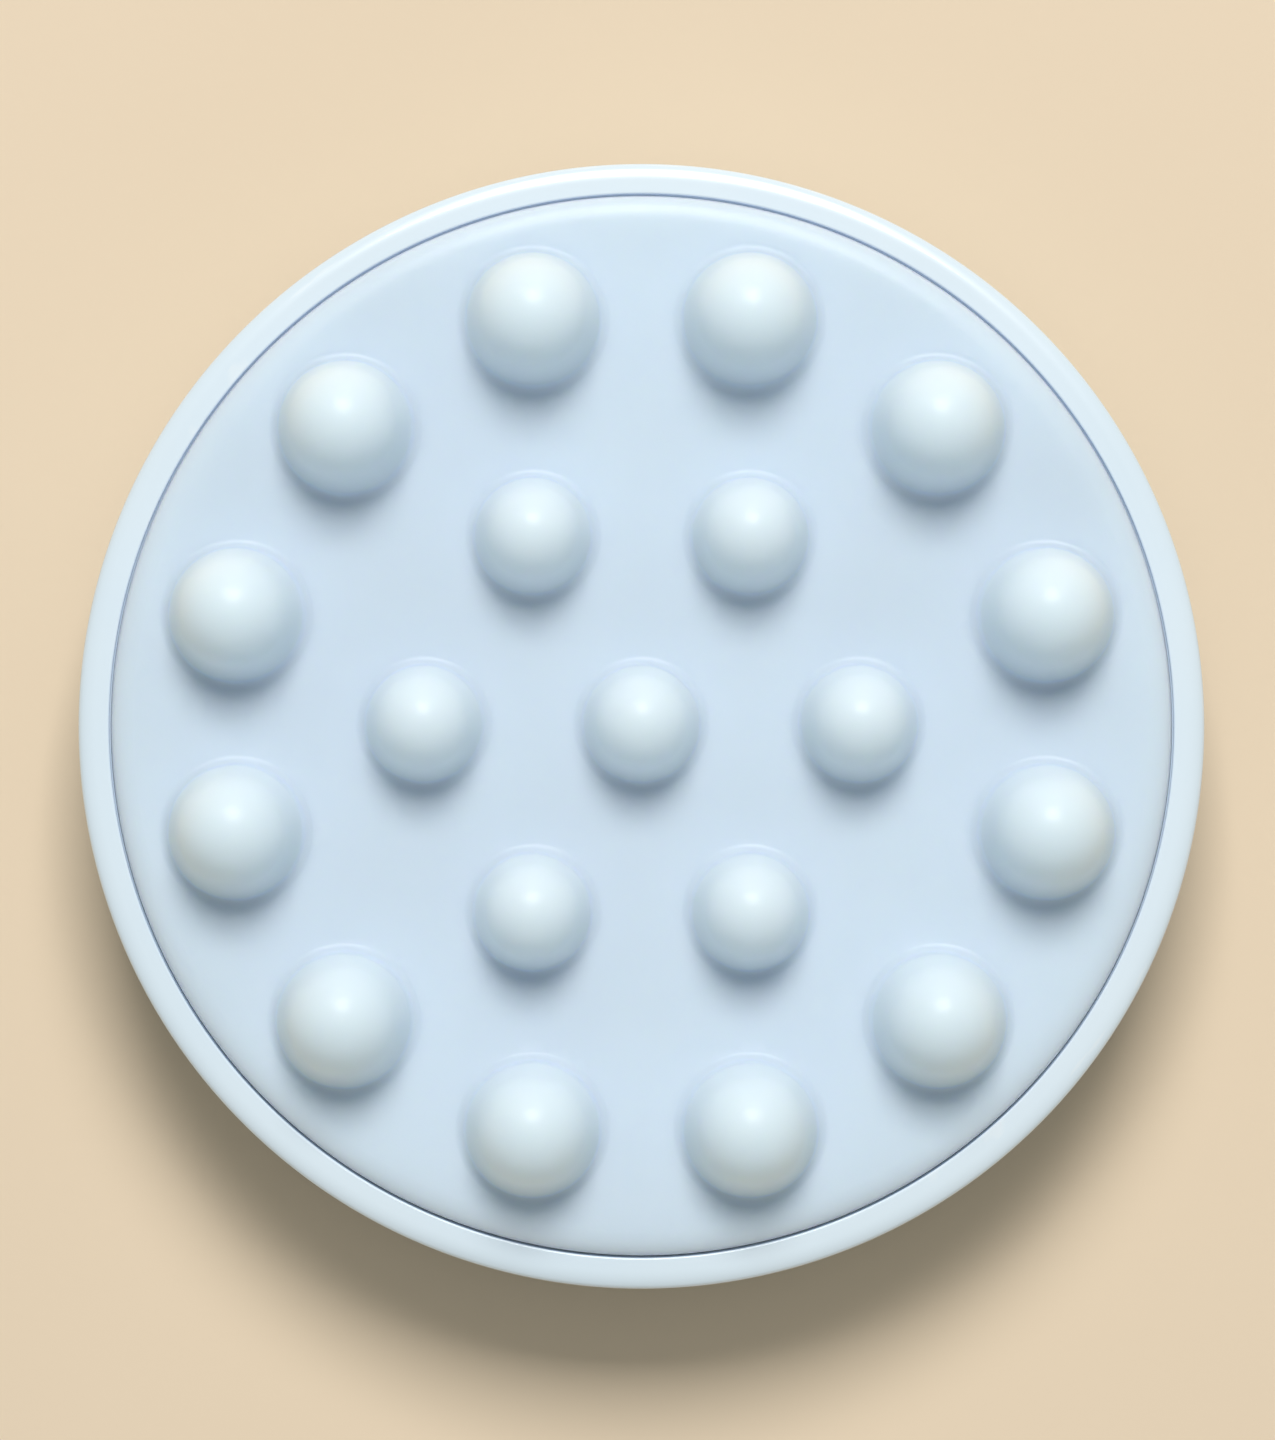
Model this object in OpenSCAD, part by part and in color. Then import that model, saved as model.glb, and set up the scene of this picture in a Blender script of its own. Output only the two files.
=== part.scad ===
// Scalp massager brush.
// A round soft pad with rounded massage nodes sits inside a glossy rim ring.
// Pad, carrier plate and clamp ring make one insert, which pushes into the
// socket of the body and pulls out for washing.  The body is a low puck that
// the fingers hold by a soft band round its side.  It stands on its foot with
// the pad facing up: +Z points out of the pad, the foot rests on z = 0, all
// sizes are in mm.

/* [Head] */
// Outer diameter of the rim ring
head_d = 80; // [78:0.5:88]
// Width of the rim ring seen from above
rim_w = 2.15; // [1.9:0.05:2.3]
// Height of the rim ring's top above the table
rim_top = 14; // [14:0.5:18]
// Height of the rim ring itself
rim_h = 6.4; // [6.2:0.1:6.8]

/* [Pad] */
// Running gap between the pad and the rim ring
pad_gap = 0.28; // [0.2:0.01:0.4]
// How far the pad's edge stands above the rim ring
pad_proud = 0.8; // [0.4:0.1:1.4]
// Thickness of the pad's face at its edge
face_t = 3.4; // [3.2:0.1:3.6]
// Depth of the shallow dish in the pad's face
dish = 1.2; // [0.4:0.1:1.4]
// Radial width of the rounded shoulder
shoulder_w = 2.0; // [1.6:0.1:2.4]
// Drop of the rounded shoulder
shoulder_h = 0.8; // [0.6:0.1:1]

/* [Massage nodes] */
// Number of nodes on the outer circle
outer_n = 12; // [8:1:12]
// Radius of the outer circle of nodes
outer_pcr = 29.8; // [28:0.1:29.9]
// Base radius of an outer node's cap
outer_rb = 4.05; // [3.8:0.05:4.2]
// Height of an outer node
outer_h = 7.4; // [6.8:0.1:7.8]
// Number of nodes on the inner circle
inner_n = 6; // [4:1:6]
// Radius of the inner circle of nodes
inner_pcr = 15.45; // [14:0.05:16]
// Base radius of an inner node's cap
inner_rb = 3.45; // [3.2:0.05:3.7]
// Height of an inner node
inner_h = 6.8; // [6.2:0.1:7.4]
// Height of a node's elliptical cap over its base radius
cap_k = 1.05; // [0.95:0.05:1.15]
// Slope of a node's flank in degrees
draft = 78; // [75:1:80]
// Radius of the fillet where a node meets the face
node_fillet = 0.9; // [0.6:0.1:1]

/* [Body] */
// Radial width of the rounded lower side
side_w = 10.8; // [9:0.2:12]
// Wall of the back shell's side
wall = 1.8; // [1.6:0.1:2]
// Diameter of the foot
foot_d = 52; // [48:1:54]
// Number of ribs round the grip band
band_ribs = 3; // [2:1:4]

/* [Fasteners] */
// Number of screws that hold the clamp ring
clamp_screws_n = 6; // [3:1:8]
// Number of screws that hold the back shell
back_screws_n = 4; // [3:1:6]

/* [Hidden] */
$fn = 96;
e = 0.01;

// Radii of the head, from the outside in
rim_or = head_d / 2;
rim_ir = rim_or - rim_w;
step_r = rim_or - 1.0;                 // where ring skirt and frame upstand meet
pad_r = rim_ir - pad_gap;
face_r = pad_r - shoulder_w;           // edge of the dished face
skirt_t = 1.7;
carrier_r = pad_r - skirt_t;
lip_w = 1.6;
lip_ir = carrier_r - lip_w;
plug_or = carrier_r - 6.0;
plug_ir = plug_or - 2.4;
socket_r = plug_or + 0.1;
clamp_ir = plug_or + 0.35;
clamp_screw_r = (clamp_ir + lip_ir) / 2;

// Heights of the head, from the top down
pad_top = rim_top + pad_proud;
face_under = pad_top - face_t;
plate_t = 2.2;
plate_under = face_under - plate_t;
skirt_bot = pad_top - 7.0;
lip_t = 1.2;
flange_bot = skirt_bot + lip_t;
clamp_bot = skirt_bot - 1.2;
ledge_z = clamp_bot - 0.1;
rim_bot = rim_top - rim_h;
step_z = rim_bot + 2.4;
plug_bot = clamp_bot - 2.1;
socket_z = plug_bot - 0.2;
groove_lo = plug_bot + 0.3;
groove_hi = groove_lo + 1.3;
seal_r = 0.6;                          // half of the seal ring's section
seal_grip = 0.04;                      // how far the seal ring is stretched into its groove
groove_r = socket_r - 0.05 - 2 * seal_r + seal_grip;

// Body
side_c = rim_or - 0.2 - side_w;        // centre of the rounded side's curve
flange_z = rim_bot - 1.2;              // underside of the frame's flange
shell_top = flange_z - 0.4;            // the gasket fills the gap
shell_bot = 0.8;
shell_floor = 3.0;
foot_r = foot_d / 2;
foot_t = 1.3;
side_p = 2.2;
side_h = shell_top - shell_bot;
screw_pcr = 21;
screw_seat = 2.2;
boss_top = 7.3;

// Points of an arc about c, from angle a0 to a1 in n steps
function arc(c, r, a0, a1, n) =
    [for (i = [0:n]) let (a = a0 + (a1 - a0) * i / n) [c[0] + r * cos(a), c[1] + r * sin(a)]];

// Points of a quarter superellipse about c, with half axes a and b and power p
function bulge(c, a, b, p, a0, a1, n) =
    [for (i = [0:n]) let (t = a0 + (a1 - a0) * i / n)
        [c[0] + a * sign(cos(t)) * pow(abs(cos(t)), 2 / p),
         c[1] + b * sign(sin(t)) * pow(abs(sin(t)), 2 / p)]];

// Height of the dished face at radius r
function face_z(r) = pad_top - dish * (1 - pow(min(r / face_r, 1), 2));

// The body's rounded side, moved out by d, from angle a0 to a1
function side(d, a0, a1, n) = bulge([side_c, shell_top], side_w + d, side_h + d, side_p, a0, a1, n);

// The points of an outline that lie above height z, with the crossing point put in
function above(z, pts) = let (n = len(pts) - 1)
    [for (i = [0:n]) for (q = concat(
        i > 0 && (pts[i][1] > z) != (pts[i - 1][1] > z)
            ? [pts[i - 1] + (pts[i] - pts[i - 1]) * (z - pts[i - 1][1]) / (pts[i][1] - pts[i - 1][1])] : [],
        pts[i][1] > z ? [pts[i]] : [])) q];

// Outline of one massage node above the face: a flare, a drafted flank, and an
// elliptical cap that runs tangent into it
function node_outline(rb, h) =
    let (hz = cap_k * rb,
         w = tan(draft) / cap_k,
         u = w / sqrt(1 + w * w),
         r1 = rb * u,
         cap = hz * (1 - sqrt(1 - u * u)),
         flank = (h - cap - node_fillet * (1 - cos(draft))) / sin(draft),
         r2 = r1 + flank * cos(draft),
         end = r2 + node_fillet * sin(draft),
         t0 = acos(u))
    concat([[0, -1], [end, -1]],
           arc([end, node_fillet], node_fillet, 270, 270 - draft, 4),
           [for (i = [0:9]) let (t = t0 + (90 - t0) * i / 10) [rb * cos(t), h - hz + hz * sin(t)]],
           [[0, h]]);

// Copies the children n times round a circle of radius r
module around(n, r, start = 0) {
    for (i = [0:n - 1]) rotate([0, 0, start + i * 360 / n]) translate([r, 0, 0]) children();
}

// A pan head screw pointing up, with its head's seat at z = 0
module screw(head_r, head_h, shank_r, length) {
    difference() {
        union() {
            translate([0, 0, -head_h]) cylinder(r = head_r, h = head_h);
            translate([0, 0, -e]) cylinder(r = shank_r, h = length + e);
        }
        for (a = [0, 90]) rotate([0, 0, a])
            translate([-head_r * 0.62, -head_r * 0.14, -head_h - e])
                cube([head_r * 1.24, head_r * 0.28, head_h * 0.5 + e]);
    }
}

// Insert: what pulls out of the body ------------------------------------

module massage_node(rb, h) {
    rotate_extrude() polygon(node_outline(rb, h));
}

module massage_pad() {
    color([0.80, 0.88, 0.94]) union() {
        rotate_extrude() polygon(concat(
            [[0, face_under]],
            [for (i = [0:11]) let (r = face_r * i / 12) [r, face_z(r)]],
            bulge([pad_r - shoulder_w, pad_top - shoulder_h], shoulder_w, shoulder_h, 2.2, 90, 0, 9),
            [[pad_r, skirt_bot + 0.4], [pad_r - 0.4, skirt_bot],
             [lip_ir, skirt_bot], [lip_ir, flange_bot],
             [carrier_r, flange_bot], [carrier_r, face_under]]));
        translate([0, 0, face_z(0)]) massage_node(inner_rb, inner_h);
        translate([0, 0, face_z(inner_pcr)]) around(inner_n, inner_pcr)
            massage_node(inner_rb, inner_h);
        translate([0, 0, face_z(outer_pcr)]) around(outer_n, outer_pcr, 180 / outer_n)
            massage_node(outer_rb, outer_h);
    }
}

module pad_carrier() {
    color([0.90, 0.92, 0.94]) difference() {
        union() {
            rotate_extrude() polygon([
                [0, plate_under], [plug_ir, plate_under], [plug_ir, plug_bot],
                [plug_or - 0.3, plug_bot], [plug_or, plug_bot + 0.3],
                [plug_or, groove_lo], [groove_r, groove_lo], [groove_r, groove_hi],
                [plug_or, groove_hi], [plug_or, flange_bot],
                [carrier_r, flange_bot], [carrier_r, face_under], [0, face_under]]);
            translate([0, 0, plate_under - 2.6]) cylinder(r = 4, h = 2.6 + e);
            around(6, 0, 30) translate([3, -0.7, plate_under - 2.6])
                cube([plug_ir - 2.4, 1.4, 2.6 + e]);
        }
        around(clamp_screws_n, clamp_screw_r) translate([0, 0, flange_bot - e])
            cylinder(r = 1, h = 2);
    }
}

module clamp_ring() {
    color([0.86, 0.90, 0.94]) difference() {
        rotate_extrude() polygon([
            [clamp_ir, clamp_bot + 0.3], [clamp_ir + 0.3, clamp_bot],
            [carrier_r - 0.6, clamp_bot], [carrier_r - 0.2, clamp_bot + 0.4],
            [carrier_r - 0.2, skirt_bot], [lip_ir - 0.1, skirt_bot],
            [lip_ir - 0.1, flange_bot], [clamp_ir, flange_bot]]);
        around(clamp_screws_n, clamp_screw_r) translate([0, 0, clamp_bot - e]) {
            cylinder(r = 1.55, h = 1.2 + e);
            cylinder(r = 1.1, h = 4);
        }
    }
}

module clamp_screws() {
    color([0.75, 0.76, 0.78]) around(clamp_screws_n, clamp_screw_r)
        translate([0, 0, skirt_bot]) screw(1.4, 1.0, 1, 3);
}

module seal_ring() {
    color([0.35, 0.45, 0.55]) rotate_extrude()
        translate([groove_r + seal_r - seal_grip, (groove_lo + groove_hi) / 2]) circle(r = seal_r);
}

// Body ------------------------------------------------------------------

module rim_ring() {
    color([0.84, 0.92, 0.97]) rotate_extrude() polygon(concat(
        [[step_r, step_z + 0.05], [step_r, rim_bot], [rim_or - 0.25, rim_bot], [rim_or, rim_bot + 0.25]],
        bulge([rim_or - 1.3, rim_top - 0.6], 1.3, 0.6, 2.3, 0, 90, 9),
        arc([rim_ir + 0.2, rim_top - 0.2], 0.2, 90, 180, 4),
        [[rim_ir, step_z + 0.05]]));
}

module head_frame() {
    color([0.82, 0.90, 0.96]) difference() {
        union() {
            rotate_extrude() polygon(concat(
                [[0, shell_floor]],
                above(shell_floor, side(-wall - 0.1, -85, -8, 11)),
                [[rim_or - 0.2 - wall - 0.1, flange_z], [rim_or - 0.2, flange_z], [rim_or - 0.2, rim_bot],
                 [step_r - 0.05, rim_bot], [step_r - 0.05, step_z - 0.2], [step_r - 0.25, step_z],
                 [rim_ir, step_z], [rim_ir, skirt_bot - 0.25], [carrier_r + 0.2, skirt_bot - 0.25],
                 [carrier_r + 0.2, ledge_z], [socket_r + 0.4, ledge_z],
                 [socket_r, ledge_z - 0.4], [socket_r, socket_z], [0, socket_z]]));
            around(back_screws_n, screw_pcr, 45) translate([0, 0, shell_floor])
                cylinder(r = 2.6, h = boss_top - shell_floor);
        }
        around(back_screws_n, screw_pcr, 45) translate([0, 0, shell_floor - e])
            cylinder(r = 1.1, h = 3.5);
    }
}

module frame_gasket() {
    color([0.35, 0.45, 0.55]) translate([0, 0, shell_top]) difference() {
        cylinder(r = rim_or - 0.6, h = flange_z - shell_top);
        translate([0, 0, -e]) cylinder(r = rim_or - 0.2 - wall, h = 1);
    }
}

module back_shell() {
    color([0.82, 0.90, 0.96]) difference() {
        rotate_extrude() polygon(concat(
            [[0, shell_floor], [0, shell_bot + 0.5], [foot_r + 0.05, shell_bot + 0.5], [foot_r + 0.05, shell_bot]],
            side(0, -90, -54, 5), side(-0.8, -53, -13, 8), side(0, -12, 0, 3),
            above(shell_floor, side(-wall, 0, -85, 12))));
        around(back_screws_n, screw_pcr, 45) translate([0, 0, shell_bot]) {
            cylinder(r = 2.3, h = screw_seat - shell_bot);
            cylinder(r = 1.25, h = 3);
        }
    }
}

module grip_band() {
    n = band_ribs * 6;
    color([0.72, 0.82, 0.90]) rotate_extrude() polygon(concat(
        side(-0.78, -13, -53, 8),
        [for (i = [0:n]) let (a = -52.5 + 39 * i / n, p = side(0.22 * abs(sin(180 * i * band_ribs / n)), a, a, 1)[0]) p]));
}

module back_screws() {
    color([0.75, 0.76, 0.78]) around(back_screws_n, screw_pcr, 45)
        translate([0, 0, screw_seat]) screw(2.1, 0.8, 1.1, 3.9);
}

module foot_pad() {
    color([0.60, 0.72, 0.82]) difference() {
        rotate_extrude() polygon([[0, 0], [foot_r - 0.4, 0], [foot_r, 0.4], [foot_r, foot_t], [0, foot_t]]);
        for (r = [foot_r - 5, foot_r - 11]) translate([0, 0, -e]) difference() {
            cylinder(r = r, h = 0.4);
            translate([0, 0, -e]) cylinder(r = r - 1.2, h = 1);
        }
    }
}

massage_pad();
pad_carrier();
clamp_ring();
clamp_screws();
seal_ring();
rim_ring();
head_frame();
frame_gasket();
back_shell();
grip_band();
back_screws();
foot_pad();
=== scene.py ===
import math

import bmesh
import bpy
from mathutils import Matrix, Vector
from mathutils.geometry import delaunay_2d_cdt


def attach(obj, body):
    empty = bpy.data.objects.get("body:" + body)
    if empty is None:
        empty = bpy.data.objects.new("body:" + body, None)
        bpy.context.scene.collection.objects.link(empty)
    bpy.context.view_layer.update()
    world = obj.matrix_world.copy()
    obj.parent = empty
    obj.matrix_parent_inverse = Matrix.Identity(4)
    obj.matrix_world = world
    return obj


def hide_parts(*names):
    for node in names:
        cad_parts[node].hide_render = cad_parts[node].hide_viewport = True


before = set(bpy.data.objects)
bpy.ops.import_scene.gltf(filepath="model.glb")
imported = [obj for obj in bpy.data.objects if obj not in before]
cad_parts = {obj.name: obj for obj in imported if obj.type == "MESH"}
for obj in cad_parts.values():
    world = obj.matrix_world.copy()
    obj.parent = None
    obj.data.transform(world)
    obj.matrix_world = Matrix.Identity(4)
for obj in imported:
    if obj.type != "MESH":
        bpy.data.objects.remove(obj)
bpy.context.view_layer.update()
MM = 0.001

# ---------------------------------------------------------------- dimensions
# The same sizes as part.scad, in millimetres.
RIM_TOP, RIM_H, RIM_OR, RIM_W = 14.0, 6.4, 40.0, 2.15
RIM_IR = RIM_OR - RIM_W
RIM_BOT = RIM_TOP - RIM_H
STEP_R, STEP_Z = RIM_OR - 1.0, RIM_BOT + 2.4
PAD_TOP, PAD_R = RIM_TOP + 0.8, RIM_IR - 0.28
FACE_T, SHOULDER_W, SHOULDER_H, SHOULDER_P, DISH = 3.4, 2.0, 0.8, 2.2, 1.2
FACE_UNDER = PAD_TOP - FACE_T
PAD_SWELL = 0.06   # the pad's upper edge bulges a little into the running gap
CARRIER_R = PAD_R - 1.7
LIP_IR = CARRIER_R - 1.6
SKIRT_BOT = PAD_TOP - 7.0
FLANGE_BOT = SKIRT_BOT + 1.2
PLUG_OR = CARRIER_R - 6.0
SOCKET_R = PLUG_OR + 0.1
CLAMP_BOT = SKIRT_BOT - 1.2
LEDGE_Z = CLAMP_BOT - 0.1
PLUG_BOT = CLAMP_BOT - 2.1
SOCKET_Z = PLUG_BOT - 0.2
SEAL_C = (SOCKET_R - 0.65, PLUG_BOT + 0.95)
SIDE_W, WALL = 10.8, 1.8
SIDE_C = RIM_OR - 0.2 - SIDE_W
FLANGE_Z = RIM_BOT - 1.2
SHELL_TOP, SHELL_BOT, SHELL_FLOOR = FLANGE_Z - 0.4, 0.8, 3.0
FOOT_R, FOOT_T = 26.0, 1.3
SCREW_PCR, BOSS_TOP = 21.0, 7.3
NODES = [(0.0, 0.0, 3.45, 6.8)]
NODES += [(15.45 * math.cos(math.radians(60 * i)), 15.45 * math.sin(math.radians(60 * i)), 3.45, 6.8) for i in range(6)]
NODES += [(29.8 * math.cos(math.radians(15 + 30 * i)), 29.8 * math.sin(math.radians(15 + 30 * i)), 4.05, 7.4) for i in range(12)]
DRAFT, CAP_K, FILLET = 78.0, 1.05, 0.9


# ------------------------------------------------------------------- meshes
def arc(cx, cz, r, a0, a1, n):
    return [(cx + r * math.cos(math.radians(a0 + (a1 - a0) * i / n)),
             cz + r * math.sin(math.radians(a0 + (a1 - a0) * i / n))) for i in range(n + 1)]


def bulge(cx, cz, a, b, p, a0, a1, n):
    out = []
    for i in range(n + 1):
        t = math.radians(a0 + (a1 - a0) * i / n)
        c, s = math.cos(t), math.sin(t)
        out.append((cx + a * math.copysign(abs(c) ** (2 / p), c), cz + b * math.copysign(abs(s) ** (2 / p), s)))
    return out


def soften(points, radius=0.25, steps=4, closed=True):
    """Rounds every corner of an outline that turns by more than 18 degrees."""
    out = []
    n = len(points)
    for i, p in enumerate(points):
        if not closed and i in (0, n - 1):
            out.append(p)
            continue
        a, b = Vector(points[i - 1]), Vector(points[(i + 1) % n])
        c = Vector(p)
        u, v = a - c, b - c
        if u.length < 1e-6 or v.length < 1e-6:
            continue
        turn = math.pi - u.angle(v)
        if math.degrees(turn) < 18 or c.x < 1e-6:
            out.append((c.x, c.y))
            continue
        cut = min(radius * math.tan(turn / 2), u.length * 0.45, v.length * 0.45)
        s, e = c + u.normalized() * cut, c + v.normalized() * cut
        for k in range(steps + 1):
            t = k / steps
            q = s * (1 - t) ** 2 + c * 2 * t * (1 - t) + e * t * t
            out.append((q.x, q.y))
    return out


def new_object(name, verts, faces):
    mesh = bpy.data.meshes.new(name)
    mesh.from_pydata([tuple(c * MM for c in v) for v in verts], [], faces)
    mesh.validate()
    mesh.update()
    obj = bpy.data.objects.new(name, mesh)
    bpy.context.scene.collection.objects.link(obj)
    for poly in mesh.polygons:
        poly.use_smooth = True
    return obj


def lathe(name, outline, segs=300, wave=None):
    """Turns a closed outline of (r, z) round Z. Points on the axis become one vertex."""
    verts, rows = [], []
    for r, z in outline:
        if r < 1e-6:
            rows.append([len(verts)])
            verts.append((0, 0, z))
        else:
            row = []
            for k in range(segs):
                a = 2 * math.pi * k / segs
                rr, zz = wave(r, z, a) if wave else (r, z)
                row.append(len(verts))
                verts.append((rr * math.cos(a), rr * math.sin(a), zz))
            rows.append(row)
    faces = []
    for i in range(len(rows)):
        a, b = rows[i], rows[(i + 1) % len(rows)]
        if len(a) == 1 and len(b) == 1:
            continue
        for k in range(segs):
            j = (k + 1) % segs
            if len(a) == 1:
                faces.append((a[0], b[k], b[j]))
            elif len(b) == 1:
                faces.append((a[k], b[0], a[j]))
            else:
                faces.append((a[k], b[k], b[j], a[j]))
    obj = new_object(name, verts, faces)
    fix_normals(obj)
    return obj


def join(obj, others):
    """Adds the other objects' meshes to obj's and removes them."""
    bm = bmesh.new()
    for o in [obj] + others:
        bm.from_mesh(o.data)
    for o in others:
        bpy.data.objects.remove(o)
    bm.to_mesh(obj.data)
    bm.free()
    for poly in obj.data.polygons:
        poly.use_smooth = True


def fix_normals(obj):
    bm = bmesh.new()
    bm.from_mesh(obj.data)
    bmesh.ops.recalc_face_normals(bm, faces=bm.faces)
    bm.to_mesh(obj.data)
    bm.free()
    mod = obj.modifiers.new("normals", "WEIGHTED_NORMAL")
    mod.keep_sharp = True
    mod.weight = 60


def face_z(r):
    """Height of the pad's face at radius r: a shallow dish, then the rounded shoulder."""
    rs = PAD_R - SHOULDER_W
    t = min(max((r - rs) / SHOULDER_W, 0.0), 1.0)
    dish = DISH * (1 - min(r / rs, 1.0) ** 2)
    blend = 0.5 * DISH / rs * max(0.0, 1.5 - abs(r - rs)) ** 2 / 1.5   # eases the dish into the shoulder
    return PAD_TOP - dish - blend - SHOULDER_H * (1 - (1 - t ** SHOULDER_P) ** (1 / SHOULDER_P))


def node_curve(rb, h):
    """Outline of a node from its flare to its tip, as (radius, height above the face): a flare, a drafted flank
    and an elliptical cap that runs tangent into it."""
    a = math.radians(DRAFT)
    hz = CAP_K * rb
    w = math.tan(a) / CAP_K
    u = w / math.sqrt(1 + w * w)
    r1, cap = rb * u, hz * (1 - math.sqrt(1 - u * u))
    length = (h - cap - FILLET * (1 - math.cos(a))) / math.sin(a)
    r2 = r1 + length * math.cos(a)
    end = r2 + FILLET * math.sin(a)
    pts = arc(end, FILLET, FILLET, 270, 270 - DRAFT, 12)
    pts += [(r2 + (r1 - r2) * i / 4, h - cap - length * math.sin(a) * (1 - i / 4)) for i in range(1, 5)]
    t0 = math.acos(u)
    for i in range(1, 31):
        t = t0 + (math.pi / 2 - t0) * i / 30
        pts.append((rb * math.cos(t), h - hz + hz * math.sin(t)))
    return pts[:-1] + [(0.0, h)]


def make_pad():
    rim = 36.0
    count, ring_n = 360, 80
    verts, edges = [], []

    def add_ring(cx, cy, r, n):
        start = len(verts)
        for k in range(n):
            a = 2 * math.pi * k / n
            verts.append(Vector((cx + r * math.cos(a), cy + r * math.sin(a))))
        edges.extend((start + k, start + (k + 1) % n) for k in range(n))

    add_ring(0, 0, rim, count)
    for x, y, rb, h in NODES:
        add_ring(x, y, node_curve(rb, h)[0][0], ring_n)
    pitch = 0.75
    rows = int(2 * rim / (pitch * 0.866)) + 2
    for j in range(rows):
        y = -rim + j * pitch * 0.866
        for i in range(int(2 * rim / pitch) + 2):
            x = -rim + i * pitch + (pitch / 2 if j % 2 else 0)
            if math.hypot(x, y) > rim - 0.4:
                continue
            if all(math.hypot(x - nx, y - ny) > node_curve(rb, h)[0][0] + 0.3 for nx, ny, rb, h in NODES):
                verts.append(Vector((x, y)))
    flat, _, tris, _, _, _ = delaunay_2d_cdt(verts, edges, [], 0, 1e-5)
    assert len(flat) == len(verts)
    out = [(v.x, v.y, face_z(math.hypot(v.x, v.y))) for v in flat]
    faces = []
    for t in tris:
        cx = sum(flat[i].x for i in t) / 3
        cy = sum(flat[i].y for i in t) / 3
        if math.hypot(cx, cy) > rim:
            continue
        if any(math.hypot(cx - nx, cy - ny) < node_curve(rb, h)[0][0] * math.cos(math.pi / ring_n) - 1e-4 for nx, ny, rb, h in NODES):
            continue
        faces.append(tuple(t))
    # nodes, each continuing from its ring on the face
    at = count
    for x, y, rb, h in NODES:
        base = face_z(math.hypot(x, y))
        last = list(range(at, at + ring_n))
        at += ring_n
        curve = node_curve(rb, h)
        for i, (r, z) in enumerate(curve[1:], 1):
            if r < 1e-6:
                tip = len(out)
                out.append((x, y, base + z))
                faces += [(last[k], last[(k + 1) % ring_n], tip) for k in range(ring_n)]
                break
            blend = min(i / 12, 1.0)
            row = []
            for k in range(ring_n):
                a = 2 * math.pi * k / ring_n
                px, py = x + r * math.cos(a), y + r * math.sin(a)
                row.append(len(out))
                out.append((px, py, z + face_z(math.hypot(px, py)) * (1 - blend) + base * blend))
            faces += [(last[k], last[(k + 1) % ring_n], row[(k + 1) % ring_n], row[k]) for k in range(ring_n)]
            last = row
    # shoulder, skirt, lip and the underside that the carrier fills
    outline = []
    for i in range(1, 31):
        r = rim + (PAD_R - rim) * (1 - (1 - i / 30) ** 2.6)
        outline.append((r + PAD_SWELL * (i / 30) ** 3, face_z(r)))
    outline += [(PAD_R + PAD_SWELL, PAD_TOP - SHOULDER_H - 0.6), (PAD_R, PAD_TOP - SHOULDER_H - 1.6)]
    outline += soften([outline[-1], (PAD_R, SKIRT_BOT), (LIP_IR, SKIRT_BOT), (LIP_IR, FLANGE_BOT),
                       (CARRIER_R, FLANGE_BOT), (CARRIER_R, FACE_UNDER), (0, FACE_UNDER)], 0.4, 4, closed=False)[1:]
    last = list(range(count))
    for r, z in outline:
        if r < 1e-6:
            tip = len(out)
            out.append((0, 0, z))
            faces += [(last[(k + 1) % count], last[k], tip) for k in range(count)]
            break
        row = []
        for k in range(count):
            a = 2 * math.pi * k / count
            row.append(len(out))
            out.append((r * math.cos(a), r * math.sin(a), z))
        faces += [(last[(k + 1) % count], last[k], row[k], row[(k + 1) % count]) for k in range(count)]
        last = row
    obj = new_object("soft_pad", out, faces)
    fix_normals(obj)
    return obj


def side(d, a0, a1, n):
    """The body's rounded side, moved out by d, from angle a0 to a1."""
    return bulge(SIDE_C, SHELL_TOP, SIDE_W + d, SHELL_TOP - SHELL_BOT + d, 2.2, a0, a1, n)


def above(z, points):
    """The part of an outline that lies above height z, with its crossing point."""
    out = []
    for i, p in enumerate(points):
        if i and (p[1] > z) != (points[i - 1][1] > z):
            q = points[i - 1]
            t = (z - q[1]) / (p[1] - q[1])
            out.append((q[0] + (p[0] - q[0]) * t, z))
        if p[1] > z:
            out.append(p)
    return out


# ---------------------------------------------------------------- materials
def srgb(r, g, b):
    return tuple(((c / 255) / 12.92 if c / 255 <= 0.04045 else ((c / 255 + 0.055) / 1.055) ** 2.4) for c in (r, g, b)) + (1.0,)


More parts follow.
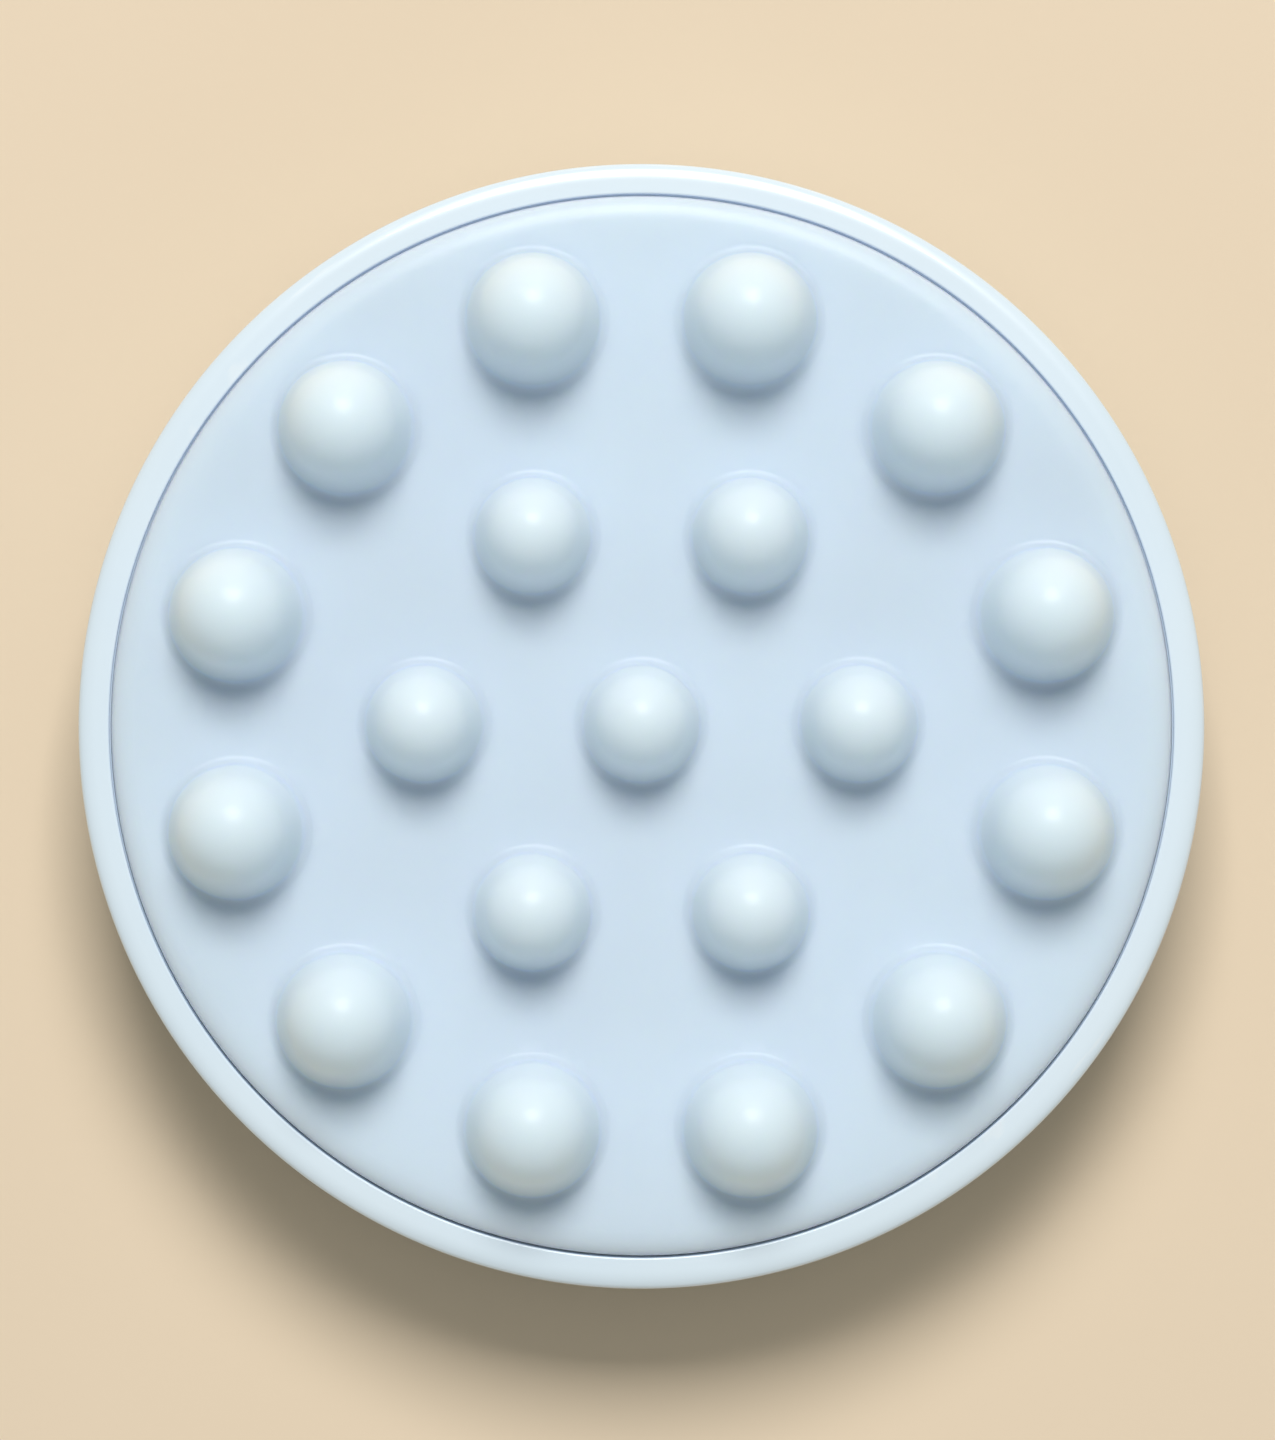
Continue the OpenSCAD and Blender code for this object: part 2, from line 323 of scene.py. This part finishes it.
def material(name, low, high, rough=(0.4, 0.5), mottle=60, grain=2500, grain_depth=0.00001,
             ripple=None, coat=0.0, coat_rough=0.08, metal=0.0, sss=None, specular=0.5, wear=None, thick_and_glow_tint=None):
    """A moulded or machined surface: colour drift, roughness drift, fine grain, an optional slow ripple,
    and optional wear on edges, all in object space. An optional tint on thick parts is painted light: it paints node
    bodies and steep flanks paler, in place of light glowing through the silicone."""
    mat = bpy.data.materials.new(name)
    mat.use_nodes = True
    nt = mat.node_tree
    n, l = nt.nodes, nt.links
    bsdf = n["Principled BSDF"]
    co = n.new("ShaderNodeTexCoord")

    def noise(scale, detail=3.0, roughness=0.5):
        t = n.new("ShaderNodeTexNoise")
        t.inputs["Scale"].default_value = scale
        t.inputs["Detail"].default_value = detail
        t.inputs["Roughness"].default_value = roughness
        l.new(co.outputs["Object"], t.inputs["Vector"])
        return t

    drift = noise(mottle)
    ramp = n.new("ShaderNodeValToRGB")
    ramp.color_ramp.elements[0].position, ramp.color_ramp.elements[1].position = 0.3, 0.7
    ramp.color_ramp.elements[0].color, ramp.color_ramp.elements[1].color = low, high
    l.new(drift.outputs["Fac"], ramp.inputs["Fac"])
    colour = ramp.outputs["Color"]
    if wear:
        geo = n.new("ShaderNodeNewGeometry")
        edge = n.new("ShaderNodeValToRGB")
        edge.color_ramp.elements[0].position, edge.color_ramp.elements[1].position = 0.52, 0.60
        l.new(geo.outputs["Pointiness"], edge.inputs["Fac"])
        mix = n.new("ShaderNodeMix")
        mix.data_type = "RGBA"
        scale = n.new("ShaderNodeMath")
        scale.operation = "MULTIPLY"
        scale.inputs[1].default_value = 0.35
        l.new(edge.outputs["Color"], scale.inputs[0])
        l.new(scale.outputs[0], mix.inputs["Factor"])
        l.new(colour, mix.inputs[6])
        mix.inputs[7].default_value = wear
        colour = mix.outputs[2]
    if thick_and_glow_tint:
        # (z0, z1, tint, scattering length): the blend from the thin face to the thick nodes; the longer scattering is
        # real, while the paler, bluer tint is painted light that lightens node bodies and steep flanks in place of glow
        # through the silicone
        xyz = n.new("ShaderNodeSeparateXYZ")
        l.new(co.outputs["Object"], xyz.inputs["Vector"])
        zone = n.new("ShaderNodeMapRange")
        zone.interpolation_type = "SMOOTHSTEP"
        zone.inputs["From Min"].default_value, zone.inputs["From Max"].default_value = thick_and_glow_tint[0], thick_and_glow_tint[1]
        l.new(xyz.outputs["Z"], zone.inputs["Value"])
        # a steep flank has the whole node behind it, however low it lies, so it takes the long scattering and the
        # painted glow tint too
        lie = n.new("ShaderNodeNewGeometry")
        up = n.new("ShaderNodeSeparateXYZ")
        l.new(lie.outputs["Normal"], up.inputs["Vector"])
        steep = n.new("ShaderNodeMapRange")
        steep.interpolation_type = "SMOOTHSTEP"
        steep.inputs["From Min"].default_value, steep.inputs["From Max"].default_value = 0.80, 0.45
        l.new(up.outputs["Z"], steep.inputs["Value"])
        most = n.new("ShaderNodeMath")
        most.operation = "MAXIMUM"
        l.new(zone.outputs["Result"], most.inputs[0])
        l.new(steep.outputs["Result"], most.inputs[1])
        # painted light: this mix paints node bodies and steep flanks with the paler, bluer glow tint
        body = n.new("ShaderNodeMix")
        body.data_type = "RGBA"
        l.new(most.outputs[0], body.inputs["Factor"])
        l.new(colour, body.inputs[6])
        body.inputs[7].default_value = thick_and_glow_tint[2]
        colour = body.outputs[2]
        length = n.new("ShaderNodeMapRange")
        length.inputs["To Min"].default_value, length.inputs["To Max"].default_value = sss[1], thick_and_glow_tint[3]
        l.new(most.outputs[0], length.inputs["Value"])
        l.new(length.outputs["Result"], bsdf.inputs["Subsurface Scale"])
    l.new(colour, bsdf.inputs["Base Color"])
    r_noise = noise(mottle * 5, 4.0)
    r_map = n.new("ShaderNodeMapRange")
    r_map.inputs["To Min"].default_value, r_map.inputs["To Max"].default_value = rough
    l.new(r_noise.outputs["Fac"], r_map.inputs["Value"])
    l.new(r_map.outputs["Result"], bsdf.inputs["Roughness"])
    fine = noise(grain, 2.0)
    bump = n.new("ShaderNodeBump")
    bump.inputs["Strength"].default_value = 0.5
    bump.inputs["Distance"].default_value = grain_depth
    l.new(fine.outputs["Fac"], bump.inputs["Height"])
    if ripple:
        slow = noise(ripple[0], 1.0)
        bump2 = n.new("ShaderNodeBump")
        bump2.inputs["Strength"].default_value = 0.5
        bump2.inputs["Distance"].default_value = ripple[1]
        l.new(slow.outputs["Fac"], bump2.inputs["Height"])
        l.new(bump.outputs["Normal"], bump2.inputs["Normal"])
        bump = bump2
    l.new(bump.outputs["Normal"], bsdf.inputs["Normal"])
    bsdf.inputs["Metallic"].default_value = metal
    bsdf.inputs["Specular IOR Level"].default_value = specular
    bsdf.inputs["Coat Weight"].default_value = coat
    bsdf.inputs["Coat Roughness"].default_value = coat_rough
    if sss:
        bsdf.inputs["Subsurface Weight"].default_value = sss[0]
        if not thick_and_glow_tint:
            bsdf.inputs["Subsurface Scale"].default_value = sss[1]
        bsdf.inputs["Subsurface Radius"].default_value = sss[2]
        bsdf.inputs["Subsurface Anisotropy"].default_value = 0.8   # silicone scatters mostly forward
    return mat


# The silicone's thick tint is painted light: node bodies and steep flanks are painted paler and bluer in place of glow
# through the silicone.
silicone = material("moulded_silicone", srgb(207, 218, 225), srgb(211, 222, 228), rough=(0.36, 0.46), mottle=45,
                    grain=5200, grain_depth=0.000006, sss=(1.0, 0.0022, (0.9, 0.95, 0.85)), specular=0.26, coat=0.08, coat_rough=0.18,
                    thick_and_glow_tint=(0.0150, 0.0176, srgb(213, 225, 250), 0.0065))
ring_mat = material("gloss_ring", srgb(221, 236, 246), srgb(227, 240, 248), rough=(0.2, 0.28), mottle=40,
                    grain=7000, grain_depth=0.000002, ripple=(260, 0.000012), coat=0.3, wear=srgb(240, 247, 250))
shell_mat = material("gloss_shell", srgb(203, 222, 235), srgb(210, 228, 240), rough=(0.18, 0.27), mottle=30,
                     grain=6000, grain_depth=0.000003, ripple=(180, 0.00002), coat=0.4, wear=srgb(232, 241, 246))
frame_mat = material("gloss_frame", srgb(208, 226, 238), srgb(215, 231, 242), rough=(0.2, 0.3), mottle=35,
                   grain=6000, grain_depth=0.000004, ripple=(200, 0.000015), coat=0.3, wear=srgb(235, 243, 247))
band_mat = material("ribbed_rubber", srgb(168, 192, 212), srgb(178, 201, 219), rough=(0.5, 0.62), mottle=70,
                      grain=3600, grain_depth=0.00002, wear=srgb(196, 214, 228))
foot_mat = material("foot_rubber", srgb(138, 162, 184), srgb(150, 173, 193), rough=(0.6, 0.72), mottle=80,
                    grain=2600, grain_depth=0.00003, wear=srgb(170, 190, 206))
inner_mat = material("inner_plastic", srgb(220, 226, 232), srgb(229, 234, 238), rough=(0.42, 0.55), mottle=50,
                     grain=3000, grain_depth=0.00001, wear=srgb(240, 242, 244))
steel_mat = material("screw_steel", srgb(170, 173, 178), srgb(196, 198, 202), rough=(0.22, 0.38), mottle=400,
                     grain=5000, grain_depth=0.000006, metal=1.0, wear=srgb(225, 226, 228))
seal_mat = material("seal_rubber", srgb(84, 108, 134), srgb(94, 118, 143), rough=(0.45, 0.58), mottle=120,
                    grain=3000, grain_depth=0.00001)


def place(obj, mat, body, node):
    obj.data.materials.clear()
    obj.data.materials.append(mat)
    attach(obj, body)
    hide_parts(node)
    return obj


# -------------------------------------------------------------------- pieces
place(make_pad(), silicone, "insert", "massage_pad")

ring = [(STEP_R, STEP_Z + 0.05), (STEP_R, RIM_BOT + 0.02), (RIM_OR - 0.25, RIM_BOT + 0.02), (RIM_OR, RIM_BOT + 0.27)]
ring += bulge(RIM_OR - 1.3, RIM_TOP - 0.6, 1.3, 0.6, 2.3, 0, 90, 26)
# a small lip makes the seam round the pad a shallow hairline; it stays clear of the pad's side
ring += arc(RIM_IR - 0.06 + 0.16, RIM_TOP - 0.16, 0.16, 90, 180, 8)
ring += [(RIM_IR - 0.06, RIM_TOP - 0.42), (RIM_IR - 0.16, RIM_TOP - 0.5), (RIM_IR - 0.16, RIM_TOP - 0.8),
         (RIM_IR, RIM_TOP - 0.96), (RIM_IR, STEP_Z + 0.05)]
place(lathe("rim_trim", soften(ring, 0.06), 360), ring_mat, "puck", "rim_ring")

# The frame: its flange shows as a band under the ring, its ledge and socket show when the insert is out.
inner = RIM_OR - 0.2 - WALL - 0.1
body = [(0, SHELL_FLOOR)] + above(SHELL_FLOOR, side(-WALL - 0.1, -85, -8, 30))
body += [(inner, FLANGE_Z), (RIM_OR - 0.2, FLANGE_Z), (RIM_OR - 0.2, RIM_BOT - 0.02), (STEP_R - 0.05, RIM_BOT - 0.02),
         (STEP_R - 0.05, STEP_Z - 0.2), (STEP_R - 0.25, STEP_Z), (RIM_IR, STEP_Z), (RIM_IR, SKIRT_BOT - 0.25),
         (CARRIER_R + 0.2, SKIRT_BOT - 0.25), (CARRIER_R + 0.2, LEDGE_Z), (SOCKET_R + 0.4, LEDGE_Z),
         (SOCKET_R, LEDGE_Z - 0.4), (SOCKET_R, SOCKET_Z), (0, SOCKET_Z)]
carrier_frame = lathe("carrier_frame", soften(body, 0.15), 360)
bosses = []
for i in range(4):
    boss = lathe("boss_%d" % i, soften([(0, SOCKET_Z - 0.4), (2.6, SOCKET_Z - 0.4), (2.6, BOSS_TOP), (0, BOSS_TOP)], 0.25), 48)
    a = math.radians(45 + 90 * i)
    boss.data.transform(Matrix.Translation((SCREW_PCR * math.cos(a) * MM, SCREW_PCR * math.sin(a) * MM, 0)))
    bosses.append(boss)
join(carrier_frame, bosses)
place(carrier_frame, frame_mat, "puck", "head_frame")

gasket = [(RIM_OR - 2.0, SHELL_TOP + 0.01), (RIM_OR - 0.6, SHELL_TOP + 0.01), (RIM_OR - 0.52, SHELL_TOP + 0.2),
          (RIM_OR - 0.6, FLANGE_Z - 0.01), (RIM_OR - 2.0, FLANGE_Z - 0.01)]
place(lathe("gasket_line", soften(gasket, 0.1), 300), seal_mat, "puck", "frame_gasket")

shell = [(0, SHELL_FLOOR), (0, FOOT_T + 0.01), (FOOT_R + 0.05, FOOT_T + 0.01), (FOOT_R + 0.05, SHELL_BOT)]
shell += side(0, -90, -54, 40) + side(-0.8, -53, -13, 30) + side(0, -12, 0, 16)
shell += above(SHELL_FLOOR, side(-WALL, 0, -85, 30))
place(lathe("rounded_back", soften(shell, 0.16), 360), shell_mat, "puck", "back_shell")

ribs = 3
band = side(-0.79, -13, -53, 30)
for i in range(ribs * 24 + 1):
    a = -52.5 + 39 * i / (ribs * 24)
    band.append(side(0.22 * abs(math.sin(math.pi * i / 24)) ** 0.8, a, a, 1)[0])
place(lathe("finger_band", soften(band, 0.1), 360), band_mat, "puck", "grip_band")

foot = [(0, FOOT_T), (FOOT_R, FOOT_T), (FOOT_R, 0.4), (FOOT_R - 0.4, 0)]
for r in (FOOT_R - 5, FOOT_R - 11):
    foot += [(r, 0), (r, 0.38), (r - 1.2, 0.38), (r - 1.2, 0)]
foot += [(0, 0)]
place(lathe("foot_disc", soften(foot, 0.12), 260), foot_mat, "puck", "foot_pad")

place(lathe("plug_seal", arc(SEAL_C[0], SEAL_C[1], 0.6, 0, 345, 23), 260), seal_mat, "insert", "seal_ring")

# Pieces whose CAD shape is already right keep it.
for node, mat in {"pad_carrier": inner_mat, "clamp_ring": inner_mat, "clamp_screws": steel_mat, "back_screws": steel_mat}.items():
    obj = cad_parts[node]
    obj.data.materials.clear()
    obj.data.materials.append(mat)

# ------------------------------------------------------------------- stage
floor_mat = material("warm_floor", srgb(232, 212, 185), srgb(236, 216, 189), rough=(0.7, 0.85), mottle=9, grain=900,
                     grain_depth=0.00002, specular=0.2)
bpy.ops.mesh.primitive_plane_add(size=6, location=(0, 0, 0))
floor = bpy.context.object
floor.name = "floor"
floor.data.materials.append(floor_mat)

world = bpy.data.worlds.new("studio")
bpy.context.scene.world = world
world.use_nodes = True
world.node_tree.nodes["Background"].inputs["Color"].default_value = (0.94, 1.0, 0.98, 1)
world.node_tree.nodes["Background"].inputs["Strength"].default_value = 0.265


def area(name, place_at, look, size, power, colour=(1, 1, 1)):
    data = bpy.data.lights.new(name, "AREA")
    data.shape, data.size, data.size_y = "RECTANGLE", size[0], size[1]
    data.energy, data.color = power, colour
    obj = bpy.data.objects.new(name, data)
    obj.location = place_at
    obj.rotation_euler = (Vector(look) - Vector(place_at)).to_track_quat("-Z", "Y").to_euler()
    bpy.context.scene.collection.objects.link(obj)
    return obj


# One softbox about a metre away, 33 degrees off the vertical on the +Y side, and a weak card opposite.
area("key", (0.03, 0.545, 0.84), (0, 0, 0.012), (0.42, 0.42), 8.4, (1.0, 0.99, 0.98))
area("card", (0.0, -0.6, 0.26), (0, 0, 0.012), (0.9, 0.35), 0.55, (1.0, 0.99, 0.98))

# The camera looks down on the face, leaning by about two and a half degrees.
cam = bpy.data.cameras.new("camera")
cam.sensor_fit, cam.sensor_width, cam.sensor_height = "AUTO", 36.0, 36.0
distance, lean = 0.45, math.radians(2.5)
target = Vector((-0.00028, 0.00027, RIM_TOP * MM))
cam.lens = 36.0 * distance / (1440 / 14.09 * MM)
camera = bpy.data.objects.new("camera", cam)
camera.location = target + Vector((0, -math.sin(lean), math.cos(lean))) * distance
camera.rotation_euler = (lean, 0, 0)
bpy.context.scene.collection.objects.link(camera)
bpy.context.scene.camera = camera
bpy.context.scene.view_settings.view_transform = "Standard"
